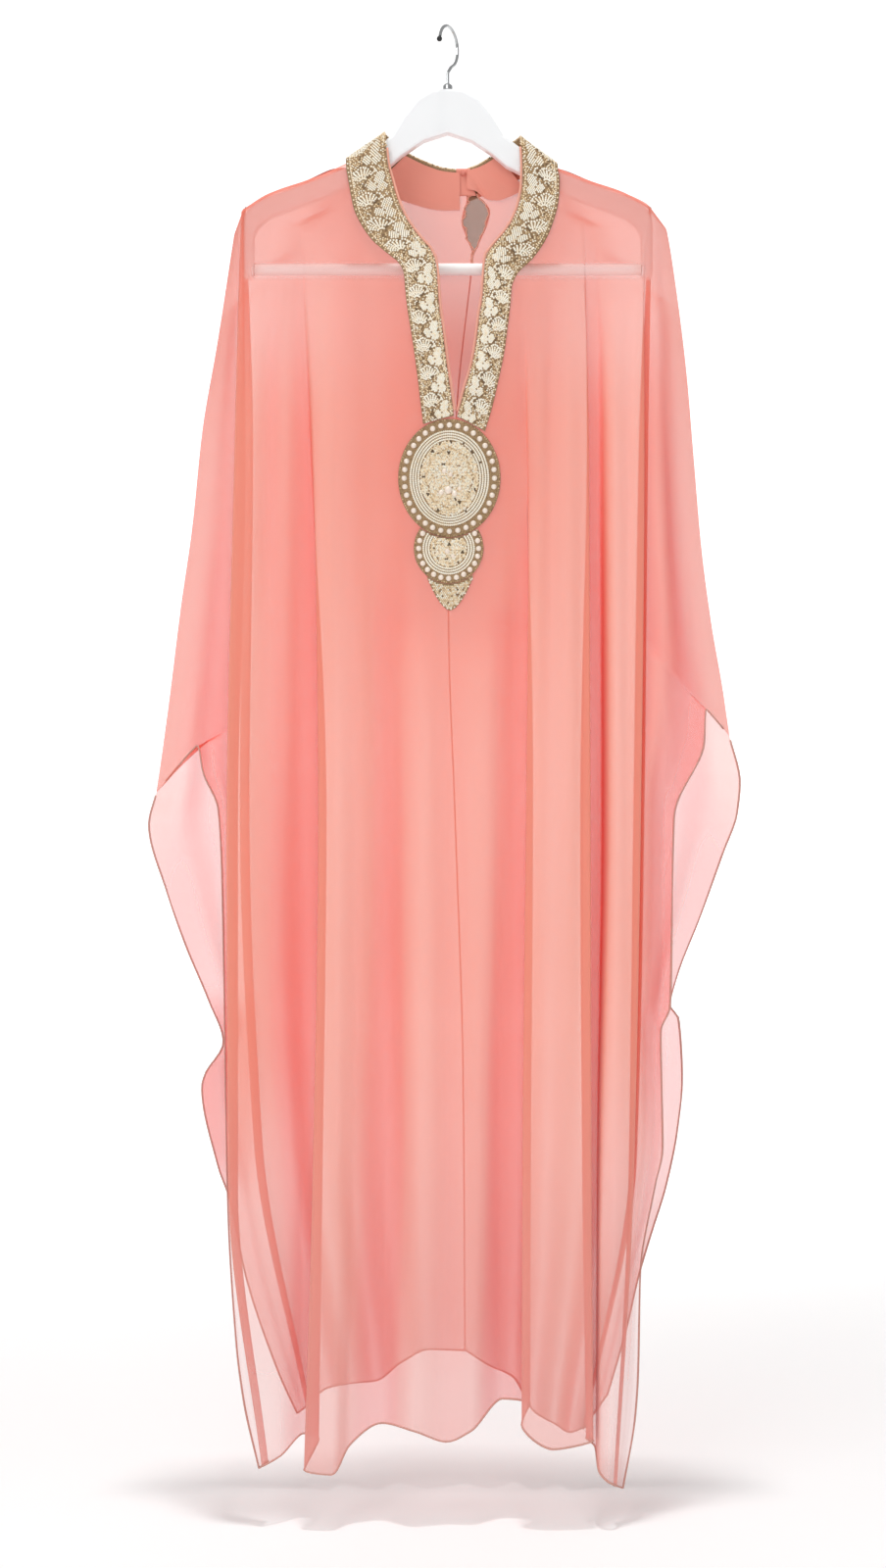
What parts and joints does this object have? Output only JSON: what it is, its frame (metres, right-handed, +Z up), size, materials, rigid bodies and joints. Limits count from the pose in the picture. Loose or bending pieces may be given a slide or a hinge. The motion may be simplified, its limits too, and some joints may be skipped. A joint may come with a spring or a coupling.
{
  "type": "kaftan on a hanger",
  "caption": "Long sheer butterfly kaftan with wide open wings, a beaded stand collar and slit placket ending in a beaded medallion, hung on a closed flat hanger with a wire hook.",
  "frame": {"origin": "inside of the hook's top, where a rail holds it", "axes": "+Z up, +X along the hanger to the right as seen from the front, -Y the kaftan's front"},
  "size_m": [0.6293, 0.1754, 1.5353],
  "materials": {
    "chiffon": "sheer coral chiffon, narrow rolled hems",
    "beaded_band": "gold and cream beads on brown mesh",
    "satin_piping": "coral satin piping",
    "crepe_facing": "doubled coral cloth",
    "beaded_medallion": "pearls, beaded cords and seed beads on brown mesh",
    "covered_button": "cloth-covered",
    "white_board": "white satin lacquer",
    "chrome_wire": "polished",
    "black_cap": "matt"
  },
  "bodies": {
    "root": {"front": "chiffon", "back_left": "chiffon", "back_right": "chiffon", "band_left": "beaded_band", "band_right": "beaded_band", "binding_left": "satin_piping", "binding_right": "satin_piping", "facing_left": "crepe_facing", "facing_right": "crepe_facing", "medallion": "beaded_medallion", "roundel": "beaded_medallion", "tip": "beaded_medallion", "neck_button": "covered_button", "hanger_frame": "white_board", "hanger_bar": "white_board", "hanger_ferrule": "chrome_wire", "hanger_hook": "chrome_wire", "hook_cap": "black_cap"}
  },
  "joints": []
}
